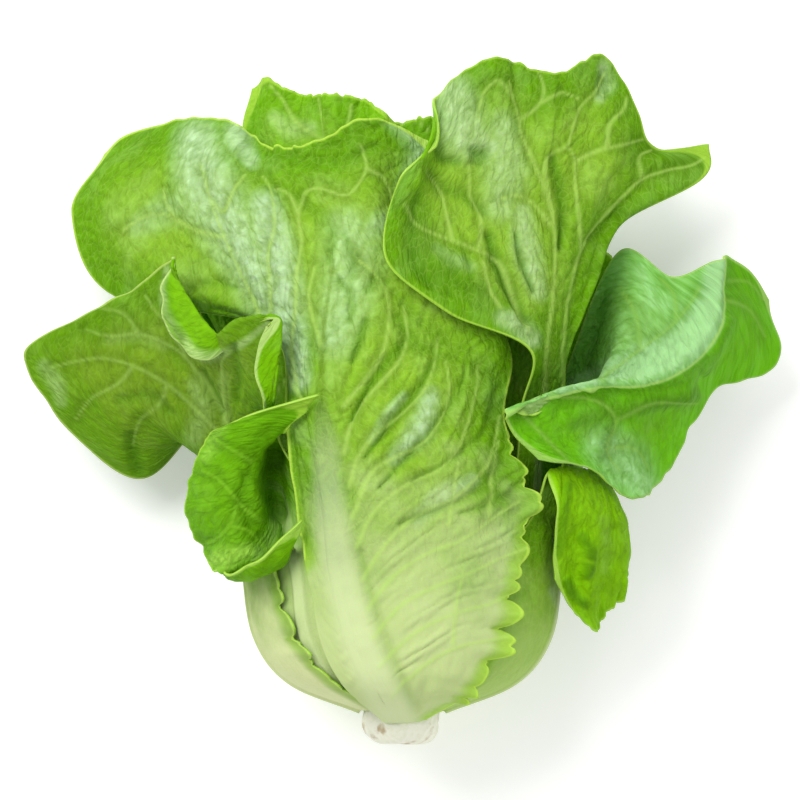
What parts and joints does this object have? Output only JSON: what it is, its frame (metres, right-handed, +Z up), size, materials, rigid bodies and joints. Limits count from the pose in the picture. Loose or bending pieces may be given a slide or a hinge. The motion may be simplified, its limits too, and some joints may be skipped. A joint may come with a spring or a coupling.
{
  "type": "romaine lettuce head",
  "caption": "Cut head of loose-leaved lettuce lying on its back, with wavy opened leaves around a paler heart and a short cut stem.",
  "frame": {"origin": "middle of the bounding box's underside, on the surface that the head lies on", "axes": "+Z up from the surface, +Y from the cut stem towards the leaf tips, +X to the right seen from above with the tips away"},
  "size_m": [0.3036, 0.2758, 0.1033],
  "materials": {
    "outer_leaf": "satin",
    "inner_leaf": "satin",
    "heart_leaf": "satin",
    "stem": "matte"
  },
  "bodies": {
    "root": {"cut_stem": "stem", "front_leaf": "outer_leaf", "low_left_leaf": "outer_leaf", "low_right_leaf": "outer_leaf", "left_leaf": "outer_leaf", "right_leaf": "outer_leaf", "upper_right_leaf": "outer_leaf", "back_leaf": "outer_leaf", "back_left_leaf": "outer_leaf", "back_right_leaf": "outer_leaf", "front_inner_leaf": "inner_leaf", "right_inner_leaf": "inner_leaf", "left_inner_leaf": "inner_leaf", "back_inner_leaf": "inner_leaf", "upper_inner_leaf": "inner_leaf", "heart_left_leaf": "heart_leaf", "heart_right_leaf": "heart_leaf", "heart_front_leaf": "heart_leaf"}
  },
  "joints": []
}
